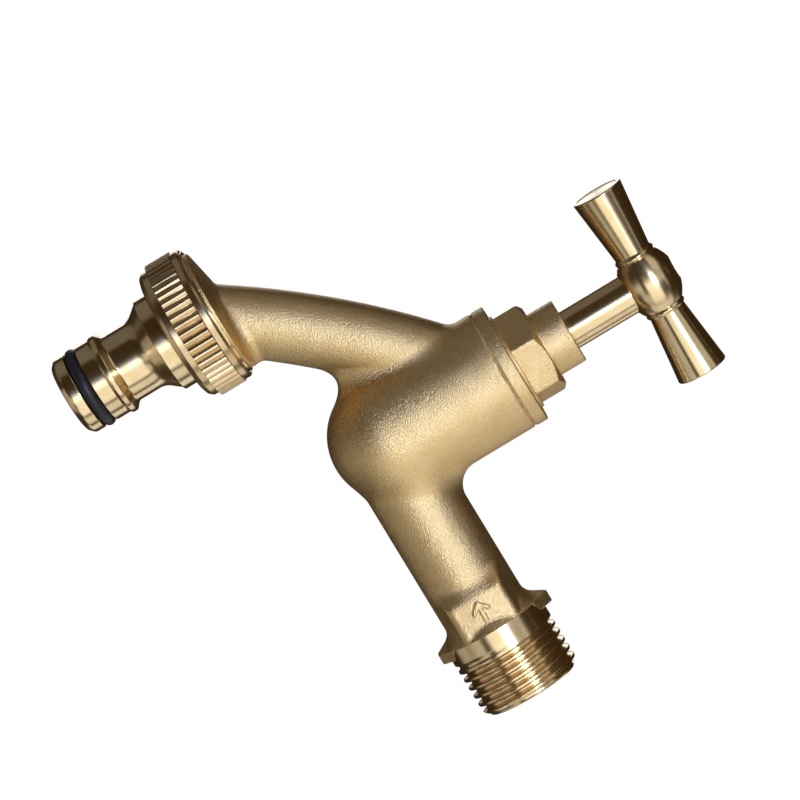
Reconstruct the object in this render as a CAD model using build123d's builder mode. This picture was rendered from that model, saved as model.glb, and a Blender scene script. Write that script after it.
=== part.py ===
import math
import os
from build123d import *

os.makedirs("parts", exist_ok=True)

# Brass bib tap, mm. +X runs along the inlet thread towards the wall, +Z up along the spindle.
# The origin is on the inlet axis, half-way along the G1/2 thread.

# main axes
SPINDLE_X = -49.5
OUTLET_X = -87.6
BAR_Z = 59.7
BAR_YAW = 6.0

# standard threads, drawn as rings
PITCH = 1.814
G12_CREST = 20.955 / 2
G12_ROOT = 18.631 / 2
G34_CREST = 26.441 / 2
G34_ROOT = 24.117 / 2
LAND = 0.3

# body casting
CHAMBER_R = 12.5
CHAMBER_BASE_Z = 2.35
BODY_TOP_Z = 26.8
TUBE_R = 8.45
SPOUT_R = 7.15
COLLAR_R = 10.25
COLLAR_EAR_R = 12.2
COLLAR_X = -8.4
COLLAR_LEN = 2.0
NECK_START_X = -5.9
NECK_END_X = -5.3
THREAD_END_X = 6.5
PAD_HALF = 6.3
PAD_Y = 9.1

# water way
INLET_BORE_R = 6.25
SPOUT_BORE_R = 5.0
SPIGOT_BORE_R = 8.0
CHAMBER_BORE_R = 9.6
SEAT_BORE_R = 5.0
SEAT_RING_R = 6.2
SEAT_Z = 9.2
SEAT_FLOOR_Z = 8.4
SEAT_ROOF_Z = 6.2

# outlet spigot and union
SPIGOT_TOP_Z = -11.8
SPIGOT_END_Z = -19.0
GASKET_T = 1.8
TAIL_FLANGE_T = 1.7
TAIL_FLANGE_R = 13.2
HUB_R = 9.8
TIP_R = 8.0
TAIL_BORE_R = 4.8
TIP_END_Z = -47.1
O_RING_MID_Z = -42.6
O_RING_SECTION_R = 1.24
O_RING_GROOVE_R = 5.86
NUT_REAR_Z = -14.5
NUT_FRONT_Z = -23.9
NUT_R = 14.4
NUT_RIBS = 50
NUT_RIB_H = 0.4
NUT_BORE_R = 13.3
NUT_LIP_R = 9.9

# bonnet
BONNET_GASKET_T = 0.4
FLANGE_TOP_Z = 29.7
LAND_TOP_Z = 30.3
HEX_TOP_Z = 36.2
HEX_AF = 17.0
HEX_TURN = 13.5
NECK_R = 6.65
NECK_TOP_Z = 41.75
BONNET_SPIGOT_R = 9.5
BONNET_FOOT_Z = 20.6
BONNET_BORE_R = 5.0
BONNET_GUIDE_Z = 36.4
STEM_RING_R = 0.75

# spindle, bar and valve
SPINDLE_R = 4.0
SPINDLE_FOOT_Z = 15.4
SPINDLE_THREAD_R = 4.92
SPINDLE_LEAD = 2.0
SPINDLE_BORE_R = 2.6
SPINDLE_SHOULDER_Z = 55.6
RIVET_R = 3.0
RIVET_TOP_Z = 65.3
WASHER_R = 7.0
WASHER_T = 3.0
JUMPER_STEM_R = 2.5
STUD_R = 1.5

SPINDLE_AXIS = Axis((SPINDLE_X, 0, 0), (0, 0, 1))
OUTLET_AXIS = Axis((OUTLET_X, 0, 0), (0, 0, 1))


def crests(root, crest, first, pitch, count):
    """Ring crests on a straight run, as (position, radius) pairs."""
    points = []
    for i in range(count):
        mid = first + i * pitch
        points.append((mid - pitch * 0.42, root))
        points.append((mid - LAND / 2, crest))
        points.append((mid + LAND / 2, crest))
        points.append((mid + pitch * 0.42, root))
    return points


# ---------------------------------------------------------------- body casting
inlet_outline = [(COLLAR_X, 0), (COLLAR_X, COLLAR_R), (NECK_START_X, G12_CREST), (NECK_END_X, G12_CREST)]
inlet_outline += crests(G12_ROOT, G12_CREST, NECK_END_X + PITCH, PITCH, 5)
inlet_outline += [(THREAD_END_X - 1.6, G12_CREST), (THREAD_END_X - 1.4, G12_CREST)]
inlet_outline += [(THREAD_END_X, 9.0), (THREAD_END_X, 0)]

ear_half = math.acos(COLLAR_R / COLLAR_EAR_R)
ear_side = (COLLAR_R * math.sin(ear_half), COLLAR_R * math.cos(ear_half))
ear_outline = [
    (0, COLLAR_EAR_R),
    ear_side,
    (ear_side[0], -ear_side[1]),
    (0, -COLLAR_EAR_R),
    (-ear_side[0], -ear_side[1]),
    (-ear_side[0], ear_side[1]),
]

spigot_outline = [(-SPIGOT_TOP_Z, 0), (-SPIGOT_TOP_Z, 4.6), (13.4, 12.2), (14.05, 12.5)]
spigot_outline += crests(G34_ROOT, G34_CREST, 15.1, PITCH, 2)
spigot_outline += [(-SPIGOT_END_Z - 0.5, G34_ROOT), (-SPIGOT_END_Z, 11.6), (-SPIGOT_END_Z, 0)]

with BuildPart() as tap_body:
    # valve chamber with a round bottom
    with BuildSketch(Plane.XY.offset(CHAMBER_BASE_Z)):
        with Locations((SPINDLE_X, 0)):
            Circle(CHAMBER_R)
    extrude(amount=BODY_TOP_Z - CHAMBER_BASE_Z)
    with Locations((SPINDLE_X, 0, CHAMBER_BASE_Z)):
        Sphere(CHAMBER_R)
    # inlet tube
    with BuildSketch(Plane.YZ.offset(SPINDLE_X)):
        Circle(TUBE_R)
    extrude(amount=COLLAR_X - SPINDLE_X)
    # spout
    with BuildLine() as spout_line:
        Spline(
            (SPINDLE_X - 6.0, 0, 18.6),
            (SPINDLE_X - 17.5, 0, 8.2),
            (SPINDLE_X - 27.3, 0, -2.9),
            (SPINDLE_X - 35.6, 0, -13.6),
        )
    with BuildSketch(Plane(spout_line.line @ 0, z_dir=spout_line.line % 0)):
        Circle(SPOUT_R)
    sweep()
    # collar with an ear above and below, its flare, and the two spanner flats
    with BuildSketch(Plane.YZ.offset(COLLAR_X)):
        Circle(COLLAR_R)
        Polygon(*ear_outline, align=None)
    extrude(amount=COLLAR_LEN)
    with BuildSketch(Plane.YZ.offset(COLLAR_X)):
        Circle(COLLAR_R)
        Polygon(*ear_outline, align=None)
    extrude(amount=-2.4, taper=44)
    with Locations((COLLAR_X - 4.7, 0, 0)):
        Box(6.4, 2 * PAD_Y, 2 * PAD_HALF)
    # neck and G1/2 thread
    with BuildSketch(Plane.XY):
        with BuildLine():
            Polyline(*inlet_outline, close=True)
        make_face()
    revolve(axis=Axis.X)
    # spigot with the G3/4 thread
    with BuildSketch(Plane.XZ):
        with BuildLine():
            Polyline(*[(OUTLET_X + r, -down) for down, r in spigot_outline], close=True)
        make_face()
    revolve(axis=OUTLET_AXIS)
    # chamber above the seat
    with BuildSketch(Plane.XY.offset(SEAT_FLOOR_Z)):
        with Locations((SPINDLE_X, 0)):
            Circle(CHAMBER_BORE_R)
    extrude(amount=BODY_TOP_Z - SEAT_FLOOR_Z, mode=Mode.SUBTRACT)
    # chamber below the seat
    with BuildSketch(Plane.XZ):
        with BuildLine():
            Polyline(
                (SPINDLE_X, -7.4),
                (SPINDLE_X + 5.0, -6.4),
                (SPINDLE_X + 9.2, -2.4),
                (SPINDLE_X + 9.6, 4.4),
                (SPINDLE_X + 8.0, SEAT_ROOF_Z),
                (SPINDLE_X, SEAT_ROOF_Z),
                close=True,
            )
        make_face()
    revolve(axis=SPINDLE_AXIS, mode=Mode.SUBTRACT)
    # opening for the seat ring
    with BuildSketch(Plane.XY.offset(SEAT_ROOF_Z - 1)):
        with Locations((SPINDLE_X, 0)):
            Circle(SEAT_RING_R)
    extrude(amount=4, mode=Mode.SUBTRACT)
    # inlet bore
    with BuildSketch(Plane.YZ.offset(SPINDLE_X)):
        Circle(INLET_BORE_R)
    extrude(amount=THREAD_END_X - SPINDLE_X, mode=Mode.SUBTRACT)
    # spout bore
    with BuildLine() as bore_line:
        Spline(
            (SPINDLE_X - 7.0, 0, 17.7),
            (SPINDLE_X - 17.5, 0, 8.2),
            (SPINDLE_X - 27.3, 0, -2.9),
            (SPINDLE_X - 36.4, 0, -15.0),
        )
    with BuildSketch(Plane(bore_line.line @ 0, z_dir=bore_line.line % 0)):
        Circle(SPOUT_BORE_R)
    sweep(mode=Mode.SUBTRACT)
    # spigot bore
    with BuildSketch(Plane.XY.offset(SPIGOT_END_Z)):
        with Locations((OUTLET_X, 0)):
            Circle(SPIGOT_BORE_R)
    extrude(amount=5.1, mode=Mode.SUBTRACT)
tap_body.part.label = "tap_body"
export_step(tap_body.part, "parts/tap_body.step")

with BuildPart() as seat_ring:
    with BuildSketch(Plane.XY.offset(SEAT_ROOF_Z)):
        with Locations((SPINDLE_X, 0)):
            Circle(SEAT_RING_R)
            Circle(SEAT_BORE_R, mode=Mode.SUBTRACT)
    extrude(amount=SEAT_Z - SEAT_ROOF_Z)
    chamfer(seat_ring.edges().group_by(Axis.Z)[-1].sort_by(SortBy.RADIUS)[-1], length=0.5)
seat_ring.part.label = "seat_ring"
export_step(seat_ring.part, "parts/seat_ring.step")

# ---------------------------------------------------------------- bonnet
with BuildPart() as bonnet_gasket:
    with BuildSketch(Plane.XY.offset(BODY_TOP_Z)):
        with Locations((SPINDLE_X, 0)):
            Circle(CHAMBER_R - 0.25)
            Circle(CHAMBER_BORE_R, mode=Mode.SUBTRACT)
    extrude(amount=BONNET_GASKET_T)
bonnet_gasket.part.label = "bonnet_gasket"
export_step(bonnet_gasket.part, "parts/bonnet_gasket.step")

FLANGE_FOOT_Z = BODY_TOP_Z + BONNET_GASKET_T
bonnet_outline = [
    (BONNET_BORE_R, BONNET_FOOT_Z),
    (BONNET_SPIGOT_R - 0.6, BONNET_FOOT_Z),
    (BONNET_SPIGOT_R, BONNET_FOOT_Z + 0.6),
    (BONNET_SPIGOT_R, FLANGE_FOOT_Z),
    (CHAMBER_R, FLANGE_FOOT_Z),
    (CHAMBER_R, FLANGE_TOP_Z - 0.25),
    (CHAMBER_R - 0.25, FLANGE_TOP_Z),
    (10.0, FLANGE_TOP_Z),
    (10.0, LAND_TOP_Z),
    (NECK_R, LAND_TOP_Z),
    (NECK_R, NECK_TOP_Z - 0.3),
    (NECK_R - 0.3, NECK_TOP_Z),
    (SPINDLE_R + 0.05, NECK_TOP_Z),
    (SPINDLE_R + 0.05, BONNET_GUIDE_Z),
    (BONNET_BORE_R, BONNET_GUIDE_Z),
]
STEM_RINGS = (38.0, 40.2)
with BuildPart() as bonnet:
    with BuildSketch(Plane.XZ):
        with BuildLine():
            Polyline(*[(SPINDLE_X + r, z) for r, z in bonnet_outline], close=True)
        make_face()
    revolve(axis=SPINDLE_AXIS)
    # hexagon, its corners taken off at the top
    with BuildSketch(Plane.XY.offset(LAND_TOP_Z)):
        with Locations((SPINDLE_X, 0)):
            RegularPolygon(HEX_AF / 2, 6, major_radius=False, rotation=HEX_TURN)
            Circle(NECK_R - 0.5, mode=Mode.SUBTRACT)
    extrude(amount=HEX_TOP_Z - LAND_TOP_Z)
    with BuildSketch(Plane.XZ):
        with BuildLine():
            Polyline(
                (SPINDLE_X + 8.3, HEX_TOP_Z),
                (SPINDLE_X + 10.4, HEX_TOP_Z - 1.3),
                (SPINDLE_X + 10.4, HEX_TOP_Z),
                close=True,
            )
        make_face()
    revolve(axis=SPINDLE_AXIS, mode=Mode.SUBTRACT)
    # grooves for the two stem rings
    for ring_z in STEM_RINGS:
        with BuildSketch(Plane.XY.offset(ring_z - 0.85)):
            with Locations((SPINDLE_X, 0)):
                Circle(SPINDLE_R + 0.05 + 2 * STEM_RING_R)
        extrude(amount=1.7, mode=Mode.SUBTRACT)
bonnet.part.label = "bonnet"
export_step(bonnet.part, "parts/bonnet.step")

with BuildPart() as stem_ring_lower:
    with Locations((SPINDLE_X, 0, STEM_RINGS[0])):
        Torus(SPINDLE_R + 0.05 + STEM_RING_R, STEM_RING_R)
stem_ring_lower.part.label = "stem_ring_lower"
export_step(stem_ring_lower.part, "parts/stem_ring_lower.step")

with BuildPart() as stem_ring_upper:
    with Locations((SPINDLE_X, 0, STEM_RINGS[1])):
        Torus(SPINDLE_R + 0.05 + STEM_RING_R, STEM_RING_R)
stem_ring_upper.part.label = "stem_ring_upper"
export_step(stem_ring_upper.part, "parts/stem_ring_upper.step")

# ---------------------------------------------------------------- spindle and bar
spindle_outline = [(0, SPINDLE_FOOT_Z), (4.3, SPINDLE_FOOT_Z), (4.5, SPINDLE_FOOT_Z + 0.2), (4.5, 21.2)]
spindle_outline += [(r, z) for z, r in crests(4.1, SPINDLE_THREAD_R, 22.4, SPINDLE_LEAD, 5)]
spindle_outline += [
    (SPINDLE_R, 31.6),
    (SPINDLE_R, SPINDLE_SHOULDER_Z),
    (RIVET_R, SPINDLE_SHOULDER_Z),
    (RIVET_R, RIVET_TOP_Z - 0.3),
    (RIVET_R - 0.3, RIVET_TOP_Z),
    (0, RIVET_TOP_Z),
]
with BuildPart() as spindle:
    with BuildSketch(Plane.XZ):
        with BuildLine():
            Polyline(*[(SPINDLE_X + r, z) for r, z in spindle_outline], close=True)
        make_face()
    revolve(axis=SPINDLE_AXIS)
    with BuildSketch(Plane.XY.offset(SPINDLE_FOOT_Z)):
        with Locations((SPINDLE_X, 0)):
            Circle(SPINDLE_BORE_R)
    extrude(amount=9.0, mode=Mode.SUBTRACT)
spindle.part.label = "spindle"
export_step(spindle.part, "parts/spindle.step")

yaw = math.radians(BAR_YAW)
bar_plane = Plane(
    origin=(SPINDLE_X, 0, BAR_Z),
    x_dir=(math.cos(yaw), math.sin(yaw), 0),
    z_dir=(math.sin(yaw), -math.cos(yaw), 0),
)
BAR_HALF = 20.15
BAR_END_R = 5.17
WAIST_R = 3.58
BEAD_R = 4.08
BARREL_END_R = 4.12
BARREL_R = 5.85
with BuildPart() as handle_bar:
    with BuildSketch(bar_plane):
        with BuildLine():
            for side in (-1, 1):
                Polyline(
                    (side * BAR_HALF, 0),
                    (side * BAR_HALF, BAR_END_R - 0.3),
                    (side * (BAR_HALF - 0.3), BAR_END_R),
                    (side * 6.6, WAIST_R),
                )
                ThreePointArc((side * 6.6, WAIST_R), (side * 6.0, BEAD_R), (side * 5.4, WAIST_R))
                Line((side * 5.4, WAIST_R), (side * 5.3, BARREL_END_R))
            ThreePointArc((-5.3, BARREL_END_R), (0, BARREL_R), (5.3, BARREL_END_R))
            Line((-BAR_HALF, 0), (BAR_HALF, 0))
        make_face()
    revolve(axis=Axis(bar_plane.origin, bar_plane.x_dir))
    # seat for the spindle and hole for its riveted end
    with BuildSketch(Plane.XY.offset(BAR_Z - 8)):
        with Locations((SPINDLE_X, 0)):
            Circle(SPINDLE_R + 0.02)
    extrude(amount=SPINDLE_SHOULDER_Z - BAR_Z + 8, mode=Mode.SUBTRACT)
    with BuildSketch(Plane.XY.offset(SPINDLE_SHOULDER_Z)):
        with Locations((SPINDLE_X, 0)):
            Circle(RIVET_R + 0.02)
    extrude(amount=12, mode=Mode.SUBTRACT)
handle_bar.part.label = "handle_bar"
export_step(handle_bar.part, "parts/handle_bar.step")

# ---------------------------------------------------------------- valve
WASHER_TOP_Z = SEAT_Z + WASHER_T
with BuildPart() as seat_washer:
    with BuildSketch(Plane.XY.offset(SEAT_Z)):
        with Locations((SPINDLE_X, 0)):
            Circle(WASHER_R)
            Circle(STUD_R, mode=Mode.SUBTRACT)
    extrude(amount=WASHER_T)
seat_washer.part.label = "seat_washer"
export_step(seat_washer.part, "parts/seat_washer.step")

jumper_outline = [
    (0, 7.1),
    (STUD_R - 0.3, 7.1),
    (STUD_R, 7.4),
    (STUD_R, WASHER_TOP_Z),
    (7.2, WASHER_TOP_Z),
    (7.2, 13.4),
    (6.8, 13.8),
    (4.2, 13.8),
    (4.2, SPINDLE_FOOT_Z),
    (JUMPER_STEM_R, SPINDLE_FOOT_Z),
    (JUMPER_STEM_R, 23.0),
    (JUMPER_STEM_R - 0.5, 23.6),
    (0, 23.6),
]
with BuildPart() as jumper:
    with BuildSketch(Plane.XZ):
        with BuildLine():
            Polyline(*[(SPINDLE_X + r, z) for r, z in jumper_outline], close=True)
        make_face()
    revolve(axis=SPINDLE_AXIS)
jumper.part.label = "jumper"
export_step(jumper.part, "parts/jumper.step")

with BuildPart() as washer_nut:
    with BuildSketch(Plane.XY.offset(SEAT_Z - 1.6)):
        with Locations((SPINDLE_X, 0)):
            RegularPolygon(2.75, 6, major_radius=False)
            Circle(STUD_R, mode=Mode.SUBTRACT)
    extrude(amount=1.6)
washer_nut.part.label = "washer_nut"
export_step(washer_nut.part, "parts/washer_nut.step")

# ---------------------------------------------------------------- union
TAIL_TOP_Z = SPIGOT_END_Z - GASKET_T
TAIL_FOOT_Z = TAIL_TOP_Z - TAIL_FLANGE_T
with BuildPart() as outlet_gasket:
    with BuildSketch(Plane.XY.offset(TAIL_TOP_Z)):
        with Locations((OUTLET_X, 0)):
            Circle(12.6)
            Circle(SPIGOT_BORE_R, mode=Mode.SUBTRACT)
    extrude(amount=GASKET_T)
outlet_gasket.part.label = "outlet_gasket"
export_step(outlet_gasket.part, "parts/outlet_gasket.step")

GROOVE_TOP_Z = O_RING_MID_Z + 1.3
GROOVE_FOOT_Z = O_RING_MID_Z - 1.3
with BuildPart() as hose_nipple:
    with BuildSketch(Plane.XZ):
        with BuildLine():
            Polyline(
                (OUTLET_X + TAIL_BORE_R, -30.0),
                (OUTLET_X + SPIGOT_BORE_R, TAIL_TOP_Z),
                (OUTLET_X + TAIL_FLANGE_R, TAIL_TOP_Z),
                (OUTLET_X + TAIL_FLANGE_R, TAIL_FOOT_Z),
                (OUTLET_X + HUB_R, TAIL_FOOT_Z),
                (OUTLET_X + HUB_R, -26.7),
                (OUTLET_X + 9.5, -27.0),
            )
            ThreePointArc(
                (OUTLET_X + 9.5, -27.0), (OUTLET_X + 7.85, -28.6), (OUTLET_X + 7.06, -31.2)
            )
            Polyline(
                (OUTLET_X + 7.06, -31.2),
                (OUTLET_X + 7.06, -35.6),
                (OUTLET_X + 8.4, -36.7),
                (OUTLET_X + 8.42, -37.8),
                (OUTLET_X + TIP_R, -38.4),
                (OUTLET_X + TIP_R, GROOVE_TOP_Z + 0.2),
                (OUTLET_X + TIP_R - 0.2, GROOVE_TOP_Z),
                (OUTLET_X + O_RING_GROOVE_R, GROOVE_TOP_Z),
                (OUTLET_X + O_RING_GROOVE_R, GROOVE_FOOT_Z),
                (OUTLET_X + TIP_R - 0.2, GROOVE_FOOT_Z),
                (OUTLET_X + TIP_R, GROOVE_FOOT_Z - 0.2),
                (OUTLET_X + TIP_R, TIP_END_Z + 1.6),
            )
            ThreePointArc(
                (OUTLET_X + TIP_R, TIP_END_Z + 1.6),
                (OUTLET_X + 7.5, TIP_END_Z + 0.45),
                (OUTLET_X + 6.3, TIP_END_Z),
            )
            Polyline(
                (OUTLET_X + 6.3, TIP_END_Z),
                (OUTLET_X + TAIL_BORE_R, TIP_END_Z),
                (OUTLET_X + TAIL_BORE_R, -30.0),
            )
        make_face()
    revolve(axis=OUTLET_AXIS)
hose_nipple.part.label = "hose_nipple"
export_step(hose_nipple.part, "parts/hose_nipple.step")

with BuildPart() as nipple_o_ring:
    with Locations((OUTLET_X, 0, O_RING_MID_Z)):
        Torus(O_RING_GROOVE_R + O_RING_SECTION_R, O_RING_SECTION_R)
nipple_o_ring.part.label = "nipple_o_ring"
export_step(nipple_o_ring.part, "parts/nipple_o_ring.step")

KNURL_REAR_Z = -16.1
KNURL_FRONT_Z = -21.6
NUT_ROOT_R = NUT_R - NUT_RIB_H
nut_outline = [
    (NUT_BORE_R + 0.35, NUT_REAR_Z),
    (NUT_ROOT_R - 0.1, NUT_REAR_Z),
    (NUT_ROOT_R + 0.1, NUT_REAR_Z - 0.3),
    (NUT_ROOT_R + 0.1, KNURL_REAR_Z),
    (NUT_ROOT_R, KNURL_REAR_Z),
    (NUT_ROOT_R, KNURL_FRONT_Z),
    (13.7, KNURL_FRONT_Z),
    (13.7, -22.9),
    (13.1, -23.5),
    (12.2, NUT_FRONT_Z),
    (NUT_LIP_R + 0.3, NUT_FRONT_Z),
    (NUT_LIP_R, NUT_FRONT_Z + 0.3),
    (NUT_LIP_R, TAIL_FOOT_Z),
    (NUT_BORE_R, TAIL_FOOT_Z),
    (NUT_BORE_R, NUT_REAR_Z - 0.35),
]
rib_outline = []
for rib in range(NUT_RIBS):
    step = 2 * math.pi / NUT_RIBS
    for part_of_step, r in ((0.0, NUT_ROOT_R), (0.2, NUT_ROOT_R), (0.4, NUT_R), (0.75, NUT_R)):
        turn = (rib + part_of_step) * step
        rib_outline.append((OUTLET_X + r * math.cos(turn), r * math.sin(turn)))
with BuildPart() as union_nut:
    with BuildSketch(Plane.XZ):
        with BuildLine():
            Polyline(*[(OUTLET_X + r, z) for r, z in nut_outline], close=True)
        make_face()
    revolve(axis=OUTLET_AXIS)
    with BuildSketch(Plane.XY.offset(KNURL_FRONT_Z)):
        with BuildLine():
            Polyline(*rib_outline, close=True)
        make_face()
        with Locations((OUTLET_X, 0)):
            Circle(NUT_BORE_R + 0.3, mode=Mode.SUBTRACT)
    extrude(amount=KNURL_REAR_Z - KNURL_FRONT_Z)
union_nut.part.label = "union_nut"
export_step(union_nut.part, "parts/union_nut.step")
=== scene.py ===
import math

import bmesh
import bpy
import numpy as np
from mathutils import Matrix, Vector


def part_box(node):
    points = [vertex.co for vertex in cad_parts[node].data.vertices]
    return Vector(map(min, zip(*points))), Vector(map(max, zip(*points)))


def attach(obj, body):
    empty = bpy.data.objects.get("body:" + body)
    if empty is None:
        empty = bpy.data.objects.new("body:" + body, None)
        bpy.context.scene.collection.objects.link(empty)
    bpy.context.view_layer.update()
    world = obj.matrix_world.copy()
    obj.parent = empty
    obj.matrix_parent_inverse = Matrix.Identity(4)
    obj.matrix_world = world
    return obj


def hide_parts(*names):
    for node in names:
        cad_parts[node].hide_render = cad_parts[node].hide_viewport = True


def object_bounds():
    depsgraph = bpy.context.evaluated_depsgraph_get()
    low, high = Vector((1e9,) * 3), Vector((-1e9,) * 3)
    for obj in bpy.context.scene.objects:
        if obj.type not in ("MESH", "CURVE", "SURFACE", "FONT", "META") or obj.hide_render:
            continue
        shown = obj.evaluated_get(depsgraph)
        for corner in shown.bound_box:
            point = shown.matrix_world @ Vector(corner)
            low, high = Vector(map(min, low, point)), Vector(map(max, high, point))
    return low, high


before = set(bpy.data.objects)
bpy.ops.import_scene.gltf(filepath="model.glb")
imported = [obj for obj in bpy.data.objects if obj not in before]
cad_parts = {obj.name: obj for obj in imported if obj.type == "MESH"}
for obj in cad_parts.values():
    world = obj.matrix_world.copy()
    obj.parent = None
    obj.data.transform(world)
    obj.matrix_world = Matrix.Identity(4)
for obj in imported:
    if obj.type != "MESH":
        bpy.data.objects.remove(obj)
cad_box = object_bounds()

# Lengths are in mm in the row frame, until a mesh is made.
MM = 0.001


# ------------------------------------------------------------------ places, read from the frame
def span(node, axis):
    """Lowest and highest value of a CAD node along an axis, in mm."""
    low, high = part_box(node)
    return low[axis] / MM, high[axis] / MM


def middle(node, axis):
    """Middle of a CAD node along an axis, in mm."""
    low, high = span(node, axis)
    return (low + high) / 2


SPINDLE_X = middle("spindle", 0)
OUTLET_X = middle("hose_nipple", 0)
BAR_Z = middle("handle_bar", 2)
BODY_TOP_Z = span("tap_body", 2)[1]
SPIGOT_END_Z = span("tap_body", 2)[0]
THREAD_END_X = span("tap_body", 0)[1]
CHAMBER_R = span("bonnet", 1)[1]
BONNET_TOP_Z = span("bonnet", 2)[1]
BONNET_FOOT_Z = span("bonnet", 2)[0]
SPINDLE_FOOT_Z, SPINDLE_TOP_Z = span("spindle", 2)
TAIL_TOP_Z = span("hose_nipple", 2)[1]
TIP_END_Z = span("hose_nipple", 2)[0]
NUT_FRONT_Z, NUT_REAR_Z = span("union_nut", 2)
O_RING_Z = middle("nipple_o_ring", 2)
O_RING_R = span("nipple_o_ring", 1)[1]

# ------------------------------------------------------------------ mesh making
TURNED_SEGMENTS = 224
SHARP_ANGLE = math.radians(38)
MERGE_DIST = 1e-7  # metres
# Fillets of outlines: the radius where none is given, the angle between their points, how far the
# held points are from them, the half angle that counts as no corner, and the most of a side they take.
DEFAULT_FILLET = 0.15
FILLET_STEP_DEG = 7
HOLD = 0.12
STRAIGHT_HALF = math.radians(89)
MAX_SIDE_SHARE = 0.49


def new_piece(name, points, faces, material):
    """A mesh object from points in mm, smooth apart from its sharp edges."""
    mesh = bpy.data.meshes.new(name)
    mesh.from_pydata((np.asarray(points, float) * MM).tolist(), [], faces)
    work = bmesh.new()
    work.from_mesh(mesh)
    bmesh.ops.remove_doubles(work, verts=work.verts, dist=MERGE_DIST)
    bmesh.ops.dissolve_degenerate(work, edges=work.edges, dist=MERGE_DIST)
    bmesh.ops.recalc_face_normals(work, faces=work.faces)
    work.to_mesh(mesh)
    work.free()
    mesh.polygons.foreach_set("use_smooth", [True] * len(mesh.polygons))
    mesh.set_sharp_from_angle(angle=SHARP_ANGLE)
    mesh.materials.append(material)
    piece = bpy.data.objects.new(name, mesh)
    bpy.context.scene.collection.objects.link(piece)
    return piece


def place(piece, body, slot, *nodes):
    """The piece rides on its body and stands for CAD nodes, which it hides. The slot is not used."""
    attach(piece, body)
    if nodes:
        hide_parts(*nodes)


def rounded(corners):
    """A closed outline with its corners rounded.

    A corner is (radius, height) or (radius, height, fillet). Each fillet gets a point HOLD beyond
    both its ends where there is room, so the smooth shading of the fillet doesn't spread.
    """
    outline = []
    count = len(corners)
    for i, corner in enumerate(corners):
        point = np.array(corner[:2], float)
        fillet = corner[2] if len(corner) > 2 else DEFAULT_FILLET
        back = np.array(corners[i - 1][:2], float) - point
        ahead = np.array(corners[(i + 1) % count][:2], float) - point
        back_len, ahead_len = np.linalg.norm(back), np.linalg.norm(ahead)
        back, ahead = back / back_len, ahead / ahead_len
        half = math.acos(max(-1.0, min(1.0, float(back @ ahead)))) / 2
        if fillet <= 0 or point[0] <= 0 or half > STRAIGHT_HALF:
            outline.append(point)
            continue
        reach = min(fillet / math.tan(half), MAX_SIDE_SHARE * min(back_len, ahead_len))
        fillet = reach * math.tan(half)
        inward = (back + ahead) / np.linalg.norm(back + ahead)
        centre = point + inward * fillet / math.sin(half)
        first = point + back * reach - centre
        last = point + ahead * reach - centre
        turn = math.pi - 2 * half
        steps = max(2, math.ceil(math.degrees(turn) / FILLET_STEP_DEG))
        room = 0.5 * min(back_len, ahead_len) - reach
        if room > HOLD:
            outline.append(point + back * (reach + HOLD))
        for k in range(steps + 1):
            t = k / steps
            arm = (math.sin((1 - t) * turn) * first + math.sin(t * turn) * last) / math.sin(turn)
            outline.append(centre + arm)
        if room > HOLD:
            outline.append(point + ahead * (reach + HOLD))
    return outline


def turned_grid(outline, segments, origin, axis, side, swell=None):
    """Points and faces of a closed outline turned about an axis.

    The turn starts at the side vector. Swell, if given, adds to the radius of outline point k at
    each turn. Two points at radius 0 in a row lie on the axis, and no face is made between them.
    """
    axis, side = np.array(axis, float), np.array(side, float)
    third = np.cross(axis, side)
    turn = np.arange(segments) * 2 * math.pi / segments
    around = np.cos(turn)[:, None] * side + np.sin(turn)[:, None] * third
    rings = []
    for k, (radius, height) in enumerate(outline):
        radii = np.full(segments, float(radius))
        if swell is not None:
            radii = radii + swell(k, turn)
        rings.append(np.array(origin) + axis * height + around * radii[:, None])
    points = np.concatenate(rings)
    faces = []
    for k in range(len(outline)):
        after = (k + 1) % len(outline)
        if outline[k][0] == 0 and outline[after][0] == 0:
            continue
        here, there = k * segments, after * segments
        for j in range(segments):
            nxt = (j + 1) % segments
            faces.append((here + j, here + nxt, there + nxt, there + j))
    return points, faces


def lathe(name, corners, material, origin, axis=(0, 0, 1), side=(1, 0, 0), segments=TURNED_SEGMENTS):
    """A turned piece. Corners are (radius, height along the axis[, fillet])."""
    outline = [tuple(p) for p in rounded(corners)]
    points, faces = turned_grid(outline, segments, origin, axis, side)
    return new_piece(name, points, faces, material)


def boolean(piece, tool, operation):
    """Applies one exact boolean and removes the tool."""
    modifier = piece.modifiers.new("cut", "BOOLEAN")
    modifier.object = tool
    modifier.operation = operation
    modifier.solver = "EXACT"
    graph = bpy.context.evaluated_depsgraph_get()
    made = bpy.data.meshes.new_from_object(piece.evaluated_get(graph))
    piece.modifiers.clear()
    piece.data = made
    bpy.data.objects.remove(tool)
    made.polygons.foreach_set("use_smooth", [True] * len(made.polygons))
    made.set_sharp_from_angle(angle=SHARP_ANGLE)


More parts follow.
